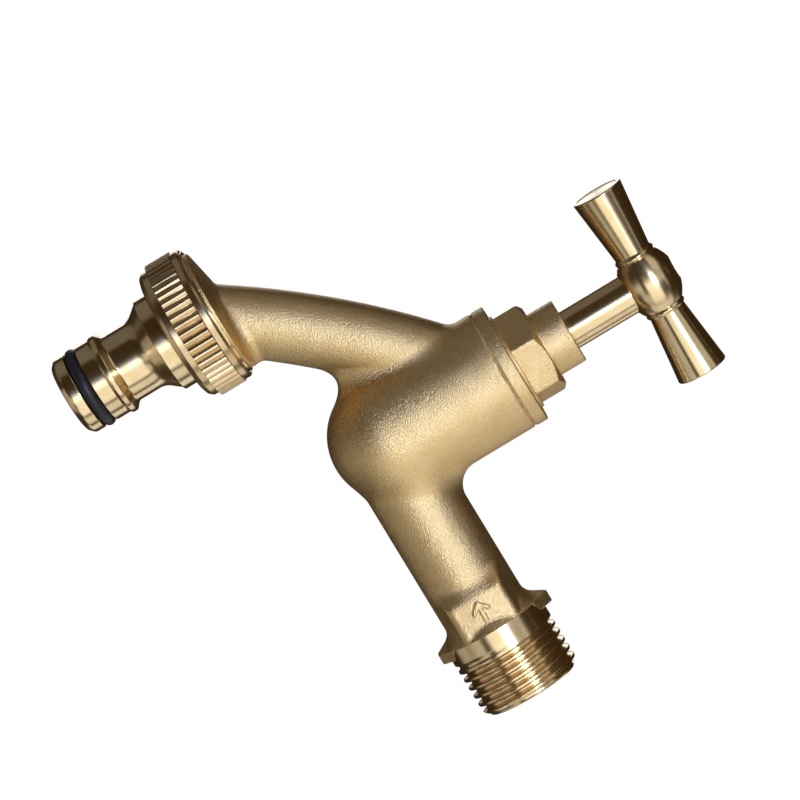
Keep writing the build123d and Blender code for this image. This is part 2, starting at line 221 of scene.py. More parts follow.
# ------------------------------------------------------------------ materials
# Colours are linear. Noise scales are features per metre, bump distances are in metres.
CAST_COLOR = (1.0, 0.71, 0.345)
CAST_DARK = (0.78, 0.52, 0.195)
CLOUD_SCALE = 260
CLOUD_SHARE = 0.25
GRAIN_SCALE = 3900
GRAIN_SHARE = 0.75
TURNED_COLOR = (0.90, 0.695, 0.385)
TURNED_DARK = (0.84, 0.61, 0.295)
NUT_COLOR = (0.84, 0.62, 0.33)
NUT_DARK = (0.75, 0.53, 0.26)
TOOL_RING_SCALE = 7000
STAIN_SCALE = 420
ANISOTROPY = 0.7
QUARTER_TURN = 0.25
RUBBER_COLOR = (0.012, 0.012, 0.013)
FIBRE_COLOR = (0.42, 0.27, 0.12)
MOTTLE_SCALE = 900
RUBBER_GRAIN_SCALE = 5200
WARM_SPECULAR = (1.0, 0.88, 0.7, 1)


def node_material(name, base_color, roughness, metallic=1.0):
    """A material with its nodes, links and Principled shader, and the object's coordinates."""
    material = bpy.data.materials.new(name)
    material.use_nodes = True
    nodes = material.node_tree.nodes
    shader = nodes["Principled BSDF"]
    shader.inputs["Base Color"].default_value = (*base_color, 1)
    shader.inputs["Roughness"].default_value = roughness
    shader.inputs["Metallic"].default_value = metallic
    place_node = nodes.new("ShaderNodeTexCoord")
    return material, nodes, material.node_tree.links, shader, place_node.outputs["Object"]


def noise(nodes, links, vector, scale, detail, roughness=0.5):
    """A noise texture's factor."""
    node = nodes.new("ShaderNodeTexNoise")
    node.inputs["Scale"].default_value = scale
    node.inputs["Detail"].default_value = detail
    node.inputs["Roughness"].default_value = roughness
    links.new(vector, node.inputs["Vector"])
    return node.outputs["Fac"]


def remap(nodes, links, value, low, high, to_low, to_high):
    """The value carried from the range low to high into the range to_low to to_high, and held there."""
    node = nodes.new("ShaderNodeMapRange")
    node.inputs["From Min"].default_value = low
    node.inputs["From Max"].default_value = high
    node.inputs["To Min"].default_value = to_low
    node.inputs["To Max"].default_value = to_high
    links.new(value, node.inputs["Value"])
    return node.outputs["Result"]


def mix_colors(nodes, links, factor, first, second):
    """The first colour at factor 0, the second at 1."""
    node = nodes.new("ShaderNodeMix")
    node.data_type = "RGBA"
    links.new(factor, node.inputs["Factor"])
    node.inputs["A"].default_value = (*first, 1)
    node.inputs["B"].default_value = (*second, 1)
    return node.outputs["Result"]


def bump(nodes, links, height, distance, strength, below=None):
    """A bumped normal, laid over the normal below it if there is one."""
    node = nodes.new("ShaderNodeBump")
    node.inputs["Distance"].default_value = distance
    node.inputs["Strength"].default_value = strength
    links.new(height, node.inputs["Height"])
    if below is not None:
        links.new(below, node.inputs["Normal"])
    return node.outputs["Normal"]


def cast_material():
    """Sand-blasted brass: a fine bright grain over faint clouding."""
    material, nodes, links, shader, place_out = node_material("cast_brass_look", CAST_COLOR, 0.42)
    cloud = noise(nodes, links, place_out, CLOUD_SCALE, detail=3)
    grain = noise(nodes, links, place_out, GRAIN_SCALE, detail=2, roughness=0.6)
    blend = nodes.new("ShaderNodeMath")
    blend.operation = "ADD"
    links.new(remap(nodes, links, cloud, 0.35, 0.65, 0, CLOUD_SHARE), blend.inputs[0])
    links.new(remap(nodes, links, grain, 0.38, 0.62, 0, GRAIN_SHARE), blend.inputs[1])
    tone = mix_colors(nodes, links, blend.outputs[0], CAST_DARK, CAST_COLOR)
    links.new(tone, shader.inputs["Base Color"])
    links.new(remap(nodes, links, grain, 0.3, 0.7, 0.32, 0.46), shader.inputs["Roughness"])
    coarse = noise(nodes, links, place_out, GRAIN_SCALE / 3, detail=2)
    coarse_bump = bump(nodes, links, coarse, distance=0.0002, strength=0.2)
    grain_bump = bump(nodes, links, grain, distance=0.0003, strength=0.48, below=coarse_bump)
    links.new(grain_bump, shader.inputs["Normal"])
    return material


def vector_node(nodes, links, operation, first, second):
    """A vector operation on a link and a constant, in either order."""
    node = nodes.new("ShaderNodeVectorMath")
    node.operation = operation
    for slot_number, value in enumerate((first, second)):
        if isinstance(value, bpy.types.NodeSocket):
            links.new(value, node.inputs[slot_number])
        else:
            node.inputs[slot_number].default_value = value
    return node


def turned_material(name, axis, centre, color, dark, roughness=0.26):
    """Turned brass: tool rings round an axis through a centre, and the long highlights they give."""
    material, nodes, links, shader, place_out = node_material(name, color, roughness)
    along = vector_node(nodes, links, "DOT_PRODUCT", place_out, axis)
    rings = nodes.new("ShaderNodeTexNoise")
    rings.noise_dimensions = "1D"
    rings.inputs["Scale"].default_value = TOOL_RING_SCALE
    rings.inputs["Detail"].default_value = 3
    links.new(along.outputs["Value"], rings.inputs["W"])
    ring = rings.outputs["Fac"]
    stain = noise(nodes, links, place_out, STAIN_SCALE, detail=3)
    tone = mix_colors(nodes, links, remap(nodes, links, stain, 0.35, 0.7, 0, 1), dark, color)
    links.new(tone, shader.inputs["Base Color"])
    polish = remap(nodes, links, ring, 0.3, 0.7, roughness * 0.93, roughness * 1.08)
    links.new(polish, shader.inputs["Roughness"])
    ring_bump = bump(nodes, links, ring, distance=0.00001, strength=0.06)
    links.new(ring_bump, shader.inputs["Normal"])
    arm = vector_node(nodes, links, "SUBTRACT", place_out, tuple(c * MM for c in centre))
    round_way = vector_node(nodes, links, "CROSS_PRODUCT", axis, arm.outputs["Vector"])
    to_world = nodes.new("ShaderNodeVectorTransform")
    to_world.vector_type = "VECTOR"
    to_world.convert_from = "OBJECT"
    to_world.convert_to = "WORLD"
    links.new(round_way.outputs["Vector"], to_world.inputs["Vector"])
    links.new(to_world.outputs["Vector"], shader.inputs["Tangent"])
    shader.inputs["Anisotropic"].default_value = ANISOTROPY
    shader.inputs["Anisotropic Rotation"].default_value = QUARTER_TURN
    return material


def rubber_material(name, color, roughness):
    """Moulded rubber or pressed fibre: matt, slightly mottled."""
    material, nodes, links, shader, place_out = node_material(name, color, roughness, metallic=0.0)
    shader.inputs["Specular Tint"].default_value = WARM_SPECULAR
    mottle = noise(nodes, links, place_out, MOTTLE_SCALE, detail=4)
    lighter = tuple(min(1.0, c * 1.6 + 0.004) for c in color)
    tone = mix_colors(nodes, links, remap(nodes, links, mottle, 0.35, 0.7, 0, 1), color, lighter)
    links.new(tone, shader.inputs["Base Color"])
    sheen = remap(nodes, links, mottle, 0.3, 0.7, roughness * 0.85, roughness * 1.2)
    links.new(sheen, shader.inputs["Roughness"])
    grain = noise(nodes, links, place_out, RUBBER_GRAIN_SCALE, detail=2)
    grain_bump = bump(nodes, links, grain, distance=0.00004, strength=0.4)
    links.new(grain_bump, shader.inputs["Normal"])
    return material


# Axes and centres of the turned pieces.
UP = (0, 0, 1)
DOWN = (0, 0, -1)
TO_WALL = (1, 0, 0)
BAR_TURN = math.radians(6)
BAR_AXIS = (math.cos(BAR_TURN), math.sin(BAR_TURN), 0.0)
INLET_FOOT = (0, 0, 0)
SPINDLE_FOOT = (SPINDLE_X, 0, 0)
OUTLET_FOOT = (OUTLET_X, 0, 0)
BAR_CENTRE = (SPINDLE_X, 0, BAR_Z)

cast_brass = cast_material()
spindle_brass = turned_material("turned_brass_spindle", UP, SPINDLE_FOOT, TURNED_COLOR, TURNED_DARK)
outlet_brass = turned_material(
    "turned_brass_outlet", UP, OUTLET_FOOT, TURNED_COLOR, TURNED_DARK, roughness=0.24
)
level_brass = turned_material("turned_brass_level", TO_WALL, INLET_FOOT, TURNED_COLOR, TURNED_DARK)
bar_brass = turned_material(
    "turned_brass_bar", BAR_AXIS, BAR_CENTRE, TURNED_COLOR, TURNED_DARK, roughness=0.25
)
nut_brass = turned_material("turned_brass_nut", UP, OUTLET_FOOT, NUT_COLOR, NUT_DARK, roughness=0.3)
black_rubber = rubber_material("black_rubber_look", RUBBER_COLOR, roughness=0.42)
brown_fibre = rubber_material("sealing_fibre_look", FIBRE_COLOR, roughness=0.8)

# ------------------------------------------------------------------ cast body, as blended distances
# Chamber: a cylinder round the spindle on a half ball, a little wider at its foot.
CHAMBER_BASE_Z = 2.35
CHAMBER_DRAFT = 0.22
CHAMBER_DRAFT_TOP_Z = 16.0
# Inlet tube with a pad on each side. The pad's end towards the chamber leans.
TUBE_R = 8.45
PAD_X = -13.1
PAD_HALF_X = 3.1
PAD_HALF_Z = 6.3
PAD_Y = 9.1
PAD_LEAN_X, PAD_LEAN_Y = 0.85, 0.53
PAD_ROUND = 1.7
STROKE_HALF = 0.36
ARROW_TAIL, ARROW_TIP, ARROW_BARB = (-2.3, 0), (1.3, 0), (-0.2, 1.5)
ARROW_RISE = 0.45
ARROW_ROOT = 1.0
# Collar: a cone up to the turned neck, with an ear above and below.
COLLAR_X = -8.4
COLLAR_LEN = 2.0
COLLAR_R = 10.42
COLLAR_LIP = 0.5
FLARE_SLOPE = 0.61
EAR_R = 12.2
EAR_POINT_R = EAR_R + 0.4
EAR_FLARE_SLOPE = 1.5
# Spout: a round tube along a curve, given as (X from the spindle, Z), ending in the spigot's cone.
SPOUT_ROUTE = ((-6.0, 18.6), (-22.75, 4.6), (-35.6, -13.6))
SPOUT_R_TOP = 7.3
SPOUT_R_END = 6.85
SPOUT_END_Z = -13.3
CONE_TOP_R = 4.6
CONE_LEAN_R, CONE_LEAN_Z = 0.21, 0.978
SPIGOT_TOP_Z = -11.8
SPIGOT_RIM_R = 12.45
CAST_END_Z = -14.3
# Water way, from the inlet under the seat, up through it and down the spout.
INLET_BORE_R = 6.25
SEAT_BORE_R = 6.2
SEAT_Z = 7.0
SEAT_HALF = 2.5
CHAMBER_BORE_R = 9.6
CHAMBER_FLOOR_Z = 8.4
UNDER_CENTRE_Z = 2.0
UNDER_FLATTENING = 1.03
UNDER_TOP_Z = 6.2
SPOUT_BORE_ROUTE = ((-7.0, 17.7), (-22.75, 4.6), (-36.4, -15.0))
SPOUT_BORE_R = 5.0
OUTLET_BORE_R = 8.0
OUTLET_BORE_TOP_Z = -14.0
# How the skin is meshed.
CAST_CELL = 0.5
CAST_MARGIN = 1.5
CAST_GRID_FOOT_Z = -16.0
MIN_STEEPNESS = 0.3
MAX_MOVE = 0.3


def length(*parts):
    """Length of a vector from its parts."""
    return np.sqrt(sum(part * part for part in parts))


def join(a, b, fillet):
    """Two distances united, with a fillet where they meet."""
    soft = np.hypot(np.maximum(fillet - a, 0), np.maximum(fillet - b, 0))
    return np.maximum(fillet, np.minimum(a, b)) - soft


def meet(a, b, edge):
    """What two distances share, its edge rounded."""
    return -join(-a, -b, edge)


def cut(a, b, edge):
    """The first without the second, its edge rounded."""
    return meet(a, -b, edge)


def bezier(route, t):
    """Point at t on the quadratic Bezier curve that has the route's three points for its controls."""
    first, mid, last = (np.array(p, float) for p in route)
    return (1 - t) ** 2 * first + 2 * t * (1 - t) * mid + t**2 * last


def swept(x, y, z, route, r_first, r_last, steps=20):
    """Distance to a round tube along a quadratic curve in the plane Y = 0, run on past both ends."""
    best = np.full(x.shape, 1e3)
    for k in range(steps):
        a, b = bezier(route, k / steps), bezier(route, (k + 1) / steps)
        run = b - a
        t = ((x - a[0]) * run[0] + (z - a[1]) * run[1]) / (run @ run)
        low = 0.0 if k else -5.0
        high = 1.0 if k < steps - 1 else 6.0
        t = np.clip(t, low, high)
        radius = r_first + (r_last - r_first) * (k + np.clip(t, 0, 1)) / steps
        best = np.minimum(best, length(x - a[0] - t * run[0], y, z - a[1] - t * run[1]) - radius)
    return best


def ramp(value, low, high):
    """0 below low, 1 above high, smooth between."""
    t = np.clip((value - low) / (high - low), 0, 1)
    return t * t * (3 - 2 * t)


def stroke(u, v, first, last):
    """Distance in a plane to a stroke with round ends."""
    run = (last[0] - first[0], last[1] - first[1])
    t = ((u - first[0]) * run[0] + (v - first[1]) * run[1]) / (run[0] ** 2 + run[1] ** 2)
    t = np.clip(t, 0, 1)
    return length(u - first[0] - t * run[0], v - first[1] - t * run[1]) - STROKE_HALF


def arrow(x, z):
    """Distance to a flow arrow in the plane of the pad, pointing from the thread to the chamber."""
    u = PAD_X - x
    v = np.abs(z)
    return np.minimum(stroke(u, v, ARROW_TAIL, ARROW_TIP), stroke(u, v, ARROW_TIP, ARROW_BARB))


def padded_tube(x, y, z):
    """Distance to the inlet tube with its two pads."""
    tube = length(np.minimum(x - SPINDLE_X, 0), y, z) - TUBE_R
    tube = np.maximum(tube, x - COLLAR_X - COLLAR_LEN)
    pad = meet(np.abs(y) - PAD_Y, np.abs(z) - PAD_HALF_Z, PAD_ROUND)
    lean = (PAD_X - PAD_HALF_X - x) * PAD_LEAN_X + (np.abs(y) - PAD_Y) * PAD_LEAN_Y
    pad = meet(pad, np.maximum(lean, x - COLLAR_X), 0.9)
    return join(tube, pad, PAD_ROUND)


def flared_collar(x, y, z):
    """Distance to the collar's cone, scaled down so that it isn't more than the true distance."""
    cone_r = np.hypot(y, z) + np.maximum(COLLAR_X - x, 0) * FLARE_SLOPE - COLLAR_R
    return np.maximum(cone_r * 0.85, x - COLLAR_X - COLLAR_LIP)


def collar_ears(x, y, z):
    """Distance to the ears: tangents to the collar from the point where they meet, cut off flat."""
    half = math.acos(COLLAR_R / EAR_POINT_R)
    drawn = np.abs(y) * math.sin(half) + np.abs(z) * math.cos(half)
    ears = (drawn - COLLAR_R + np.maximum(COLLAR_X - 0.2 - x, 0) * EAR_FLARE_SLOPE) * 0.6
    ears = np.maximum(ears, np.abs(y) - COLLAR_R * math.sin(half) + 0.5)
    ears = meet(ears, x - COLLAR_X - COLLAR_LEN, 0.35)
    return meet(ears, np.abs(z) - EAR_R, 0.3)


def coned_spout(x, y, z):
    """Distance to the spout and the cone it stands on, above the spigot's thread."""
    spout = swept(x - SPINDLE_X, y, z, SPOUT_ROUTE, SPOUT_R_TOP, SPOUT_R_END)
    spout = meet(spout, SPOUT_END_Z - z, 0.4)
    out = np.hypot(x - OUTLET_X, y)
    cone = (out - CONE_TOP_R) * CONE_LEAN_R + (z - SPIGOT_TOP_Z) * CONE_LEAN_Z
    cone = meet(cone, out - SPIGOT_RIM_R, 0.25)
    cone = np.maximum(cone, CAST_END_Z - z)
    # The fillet between them is wide on the side of the chamber.
    return join(spout, cone, 0.4 + 2.6 * ramp(x - OUTLET_X, -2.0, 8.0))


def without_water_way(solid, x, y, z):
    """The solid with the water way cut out of it."""
    radial = np.hypot(x - SPINDLE_X, y)
    hollow = meet(radial - CHAMBER_BORE_R, CHAMBER_FLOOR_Z - z, 0.6)
    solid = cut(solid, np.maximum(hollow, z - BODY_TOP_Z - 5), 0.3)
    under = length(radial, (z - UNDER_CENTRE_Z) * UNDER_FLATTENING) - CHAMBER_BORE_R
    under = meet(under, z - UNDER_TOP_Z, 0.6)
    seat_way = np.maximum(radial - SEAT_BORE_R, np.abs(z - SEAT_Z) - SEAT_HALF)
    inlet_way = np.maximum(np.hypot(y, z) - INLET_BORE_R, SPINDLE_X - x)
    solid = cut(solid, join(np.minimum(under, seat_way), inlet_way, 0.5), 0.3)
    spout_way = swept(x - SPINDLE_X, y, z, SPOUT_BORE_ROUTE, SPOUT_BORE_R, SPOUT_BORE_R)
    out_way = np.maximum(np.hypot(x - OUTLET_X, y) - OUTLET_BORE_R, z - OUTLET_BORE_TOP_Z)
    return cut(solid, join(spout_way, out_way, 0.5), 0.3)


def casting(x, y, z):
    """Distance to the skin of the cast body."""
    radial = np.hypot(x - SPINDLE_X, y)
    dome = length(radial, z - CHAMBER_BASE_Z)
    draft = CHAMBER_DRAFT * ramp(-z, -CHAMBER_DRAFT_TOP_Z, 0.0)
    chamber = np.where(z < CHAMBER_BASE_Z, dome, radial) - CHAMBER_R - draft
    chamber = meet(chamber, z - BODY_TOP_Z, 0.25)
    tube = join(padded_tube(x, y, z), flared_collar(x, y, z), 0.3)
    tube = join(tube, collar_ears(x, y, z), 0.4)
    # The fillet of the tube is wide on top of it and narrow below.
    solid = join(chamber, tube, 1.2 + 3.4 * ramp(z, -5.0, 6.0))
    # The fillet of the spout is wide under it, and narrow on top of it and at its sides.
    narrow = np.maximum(ramp(z, -2.0, 20.0), 0.92 * ramp(np.abs(y), 2.0, 7.5))
    solid = join(solid, coned_spout(x, y, z), 6.8 - 5.7 * narrow)
    # The flow arrow is on the pad at -Y only.
    mark = meet(arrow(x, z), -y - PAD_Y - ARROW_RISE, 0.15)
    mark = np.maximum(mark, y + PAD_Y - ARROW_ROOT)
    solid = join(solid, mark, 0.2)
    return without_water_way(solid, x, y, z)


def skin(distance, low, high, cell):
    """Points and quads of a distance's zero surface: one point in each cell it crosses."""
    counts = [int(math.ceil((h - l) / cell)) + 1 for l, h in zip(low, high)]
    axes = [l + cell * np.arange(n) for l, n in zip(low, counts)]
    grid = np.meshgrid(*axes, indexing="ij")
    inside = distance(*grid) < 0
    total = np.zeros([n - 1 for n in counts], int)
    for i in (0, 1):
        for j in (0, 1):
            for k in (0, 1):
                total += inside[i : i + total.shape[0], j : j + total.shape[1], k : k + total.shape[2]]
    mixed = (total > 0) & (total < 8)
    number = np.full(total.shape, -1)
    number[mixed] = np.arange(mixed.sum())
    points = np.argwhere(mixed) * cell + np.array(low) + cell / 2
    quads = []
    for axis in range(3):
        there = np.moveaxis(inside, axis, 0)
        ids = np.moveaxis(number, axis, 0)
        crossing = there[:-1, 1:-1, 1:-1] != there[1:, 1:-1, 1:-1]
        i, j, k = np.nonzero(crossing)
        ring = np.stack([ids[i, j, k], ids[i, j + 1, k], ids[i, j + 1, k + 1], ids[i, j, k + 1]], 1)
        flip = there[i, j + 1, k + 1] ^ (axis != 1)
        ring[flip] = ring[flip][:, ::-1]
        quads.append(ring)
    return points, np.concatenate(quads)


def slope(distance, points, step=0.02):
    """Unit gradient of a distance and its steepness, by differences."""
    parts = []
    for axis in range(3):
        shift = np.zeros(3)
        shift[axis] = step
        ahead, behind = points + shift, points - shift
        parts.append(distance(*ahead.T) - distance(*behind.T))
    rise = np.stack(parts, 1)
    size = np.linalg.norm(rise, axis=1, keepdims=True)
    return rise / np.maximum(size, 1e-9), size[:, 0] / (2 * step)


def settle(distance, points, quads, rounds, relax):
    """Evens the points out over the surface and puts them back on it. No evening out if relax is 0."""
    for _ in range(rounds):
        if relax:
            total = np.zeros_like(points)
            seen = np.zeros(len(points))
            for a, b in ((0, 1), (1, 2), (2, 3), (3, 0)):
                np.add.at(total, quads[:, a], points[quads[:, b]])
                np.add.at(total, quads[:, b], points[quads[:, a]])
                np.add.at(seen, quads[:, a], 1)
                np.add.at(seen, quads[:, b], 1)
            normal, _ = slope(distance, points)
            pull = (total / seen[:, None] - points) * relax
            points = points + pull - normal * (pull * normal).sum(1, keepdims=True)
        normal, steep = slope(distance, points)
        step = distance(*points.T) / np.maximum(steep, MIN_STEEPNESS)
        step = np.clip(step, -MAX_MOVE, MAX_MOVE)
        points = points - normal * step[:, None]
    return points


def quarter(points, quads):
    """Each quad in four."""
    edges = np.concatenate([quads[:, [0, 1]], quads[:, [1, 2]], quads[:, [2, 3]], quads[:, [3, 0]]])
    edges.sort(axis=1)
    unique, back = np.unique(edges, axis=0, return_inverse=True)
    back = back.reshape(4, len(quads)) + len(points)
    centre = np.arange(len(quads)) + len(points) + len(unique)
    middles = points[unique].mean(1)
    centres = points[quads].mean(1)
    parts = []
    for k in range(4):
        parts.append(np.stack([quads[:, k], back[k], centre, back[k - 1]], 1))
    return np.concatenate([points, middles, centres]), np.concatenate(parts)


def make_casting():
    """The cast body as one closed mesh."""
    side = CHAMBER_R + CAST_MARGIN
    low = (OUTLET_X - CHAMBER_R - CAST_MARGIN, -side, CAST_GRID_FOOT_Z)
    high = (COLLAR_X + COLLAR_LEN + CAST_MARGIN, side, BODY_TOP_Z + CAST_MARGIN)
    points, quads = skin(casting, low, high, CAST_CELL)
    points = settle(casting, points, quads, rounds=3, relax=0.0)
    points = settle(casting, points, quads, rounds=2, relax=0.5)
    points, quads = quarter(points, quads)
    points = settle(casting, points, quads, rounds=3, relax=0.35)
    return new_piece("tap_casting", points, quads.tolist(), cast_brass)


place(make_casting(), "body", "cast_brass", "tap_body")

# ------------------------------------------------------------------ turned threads of the body
# The body's threads are British pipe threads, given by their outside and root diameters.
PITCH = 1.814
G12_CREST, G12_ROOT = 20.955 / 2, 18.631 / 2
G34_CREST, G34_ROOT = 26.441 / 2, 24.117 / 2
THREAD_ROWS = 18
THREAD_SEGMENTS = 216
CHAMFER_LEN = 1.35
CHAMFER_SLOPE = 0.95
FLATTENING = 1.7
INLET_THREAD_X = -5.9
OUTLET_START = 14.1
OUTLET_THREAD_START = 14.5


def thread_depth(turns):
    """Share of the thread's depth that is left standing: 1 on a crest, 0 in a root."""
    wave = 1 - 4 * np.abs((turns % 1.0) - 0.5)
    flat_topped = np.clip(FLATTENING * -wave, -1, 1)
    return 0.5 + 0.5 * np.sin(np.pi / 2 * flat_topped)


def threaded(name, material, origin, axis, side, start, thread, crest, root, bore, start_turn, runout):
    """A ring with a right-hand thread.

    It is plain from start on, and threaded over the stretch thread, (from, to) along the axis.
    start_turn shifts where the groove begins, and it takes runout turns to reach its full depth.
    """
    axis, side = np.array(axis, float), np.array(side, float)
    third = np.cross(axis, side)
    count = THREAD_SEGMENTS
    turn = np.arange(count) / count
    end = thread[1]
    rise = PITCH / THREAD_ROWS
    # Each row climbs one pitch in a turn, so rows begin a pitch early and are held to the ends.
    rows = np.arange(start - PITCH - rise, end + 1.5 * rise, rise)
    height = np.clip(rows[:, None] + PITCH * turn[None, :], start, end)
    path = (height - thread[0]) / PITCH - turn[None, :] - start_turn
    groove = np.floor(path)
    worked = groove + turn[None, :] + start_turn
    deep = np.clip(worked / runout, 0, 1)
    deep = deep * deep * (3 - 2 * deep)
    standing = thread_depth(path)
    radius = crest - (crest - root) * deep * (1 - standing)
    chamfer = crest + 0.02 - np.maximum(height - (end - CHAMFER_LEN), 0) * CHAMFER_SLOPE
    radius = np.minimum(radius, chamfer)
    angle = 2 * np.pi * turn
    around = np.cos(angle)[:, None] * side + np.sin(angle)[:, None] * third
    grid = np.array(origin) + height[:, :, None] * axis + radius[:, :, None] * around[None]
    points = [grid.reshape(-1, 3)]
    total = len(rows)
    faces = []
    for i in range(total - 1):
        for j in range(count - 1):
            a = i * count + j
            faces.append((a, a + 1, a + count + 1, a + count))
        # A row's end meets the start of the row one pitch further on.
        if i + 1 + THREAD_ROWS < total:
            a = i * count + count - 1
            b = (i + THREAD_ROWS) * count
            faces.append((a, b, b + count, a + count))
    # Close the ring: its outer end, the bore with its bevelled mouth, and its start.
    loops = [[(total - 1) * count + j for j in range(count)]]
    mouth = min(0.5, bore * 0.08)
    for rim, at in ((bore + mouth, end), (bore, end - mouth), (bore, start)):
        base = sum(len(p) for p in points)
        points.append(np.array(origin) + at * axis + rim * around)
        loops.append([base + j for j in range(count)])
    loops.append(list(range(count)))
    for first, second in zip(loops, loops[1:]):
        for j in range(count):
            nxt = (j + 1) % count
            faces.append((first[j], first[nxt], second[nxt], second[j]))
    return new_piece(name, np.concatenate(points), faces, material)


inlet_thread = threaded(
    "inlet_thread_turned",
    level_brass,
    INLET_FOOT,
    TO_WALL,
    (0, 1, 0),
    start=COLLAR_X,
    thread=(INLET_THREAD_X, THREAD_END_X),
    crest=G12_CREST,
    root=G12_ROOT,
    bore=INLET_BORE_R,
    start_turn=0.55,
    runout=0.55,
)
place(inlet_thread, "body", "turned_brass", "tap_body")
outlet_thread = threaded(
    "outlet_thread_turned",
    outlet_brass,
    OUTLET_FOOT,
    DOWN,
    TO_WALL,
    start=OUTLET_START,
    thread=(OUTLET_THREAD_START, -SPIGOT_END_Z),
    crest=G34_CREST,
    root=G34_ROOT,
    bore=OUTLET_BORE_R,
    start_turn=0.1,
    runout=0.3,
)
place(outlet_thread, "body", "turned_brass", "tap_body")

# ------------------------------------------------------------------ bonnet
FLANGE_TOP_Z = 29.7
LAND_TOP_Z = 30.3
HEX_FOOT_Z = LAND_TOP_Z - 0.15
HEX_TOP_Z = 36.2
HEX_AF = 17.0  # across flats
HEX_TURN = math.radians(13.5)
HEX_EDGE = 0.35
HEX_BEVEL_LEN = 1.45
HEX_BEVEL_R = 8.2
LAND_R = 10.0
PLUG_R = 9.5
BONNET_BORE_R = 5.0
NECK_R = 6.65
GUIDE_R = 4.05
GUIDE_FOOT_Z = HEX_TOP_Z + 0.2
FLANGE_FOOT_Z = span("bonnet_gasket", 2)[1]


def make_bonnet():
    """Flange, round land and neck. The hexagon is a piece of its own."""
    corners = [
        (BONNET_BORE_R, BONNET_FOOT_Z),
        (PLUG_R, BONNET_FOOT_Z, 0.5),
        (PLUG_R, FLANGE_FOOT_Z),
        (CHAMBER_R, FLANGE_FOOT_Z, 0.15),
        (CHAMBER_R, FLANGE_TOP_Z, 0.3),
        (LAND_R, FLANGE_TOP_Z, 0.1),
        (LAND_R, LAND_TOP_Z, 0.15),
        (NECK_R, LAND_TOP_Z, 0.1),
        (NECK_R, BONNET_TOP_Z, 0.35),
        (GUIDE_R, BONNET_TOP_Z, 0.2),
        (GUIDE_R, GUIDE_FOOT_Z),
        (BONNET_BORE_R, GUIDE_FOOT_Z),
    ]
    bonnet = lathe("bonnet_turned", corners, cast_brass, SPINDLE_FOOT)
    place(bonnet, "body", "cast_brass", "bonnet")


def make_bonnet_hexagon():
    """The hexagon, its corners taken off by the turned bevel at the top."""
    outer = HEX_AF / 2 / math.cos(math.pi / 6)
    work = bmesh.new()
    rims = []
    for z in (HEX_FOOT_Z, HEX_TOP_Z):
        rim = []
        for k in range(6):
            turn = HEX_TURN + k * math.pi / 3
            at = Vector((SPINDLE_X + outer * math.cos(turn), outer * math.sin(turn), z)) * MM
            rim.append(work.verts.new(at))
        rims.append(rim)
    work.faces.new(rims[0][::-1])
    work.faces.new(rims[1])
    for k in range(6):
        nxt = (k + 1) % 6
        work.faces.new((rims[0][k], rims[0][nxt], rims[1][nxt], rims[1][k]))
    upright = [e for e in work.edges if abs(e.verts[0].co.z - e.verts[1].co.z) > MM]
    bmesh.ops.bevel(work, geom=upright, offset=HEX_EDGE * MM, segments=3, affect="EDGES", profile=0.5)
    mesh = bpy.data.meshes.new("bonnet_hexagon")
    work.to_mesh(mesh)
    work.free()
    mesh.materials.append(cast_brass)
    hexagon = bpy.data.objects.new("bonnet_hexagon", mesh)
    bpy.context.scene.collection.objects.link(hexagon)
    # The tool also bores the hexagon, so that it is a ring round the bonnet's neck.
    inner, wide, foot = NECK_R - 0.4, outer + 0.6, LAND_TOP_Z - 0.1
    bevel = [
        (inner, foot, 0),
        (wide, foot, 0),
        (wide, HEX_TOP_Z - HEX_BEVEL_LEN, 0),
        (HEX_BEVEL_R, HEX_TOP_Z, 0.35),
        (inner, HEX_TOP_Z, 0),
    ]
    boolean(hexagon, lathe("bevel_tool", bevel, cast_brass, SPINDLE_FOOT), "INTERSECT")
    place(hexagon, "body", "cast_brass", "bonnet")


make_bonnet()
make_bonnet_hexagon()

# ------------------------------------------------------------------ spindle and T-bar
JUMPER_HOLE_R = 2.6
JUMPER_HOLE_DEEP = 9
THREADED_R = 4.5
THREADED_TOP_Z = 30.8
SHAFT_R = 4.0
SHAFT_FOOT_Z = 31.2
SHOULDER_Z = 55.6
RIVET_R = 2.4
RIVET_TOP_Z = SPINDLE_TOP_Z - 0.2
BAR_HALF = 20.15
BAR_END_HOLLOW = 0.12
# The barrel's outline is an arc of BARREL_ARC_R that is BARREL_R from the bar's axis at its middle.
BARREL_R = 5.85
BARREL_ARC_R = 8.98
BARREL_HALF = 5.3
BARREL_STEPS = 6


def make_spindle():
    """The spindle, from the jumper's hole to the rivet. Its threaded part is hidden, and plain here."""
    hole_top = SPINDLE_FOOT_Z + JUMPER_HOLE_DEEP
    corners = [
        (0, hole_top),
        (JUMPER_HOLE_R, hole_top),
        (JUMPER_HOLE_R, SPINDLE_FOOT_Z, 0.2),
        (THREADED_R, SPINDLE_FOOT_Z, 0.3),
        (THREADED_R, THREADED_TOP_Z, 0.3),
        (SHAFT_R, SHAFT_FOOT_Z, 0.2),
        (SHAFT_R, SHOULDER_Z, 0.3),
        (RIVET_R, SHOULDER_Z),
        (RIVET_R, RIVET_TOP_Z, 0.8),
        (0, RIVET_TOP_Z),
    ]
    spindle = lathe("spindle_turned", corners, spindle_brass, SPINDLE_FOOT, segments=160)
    place(spindle, "handle", "turned_brass", "spindle")


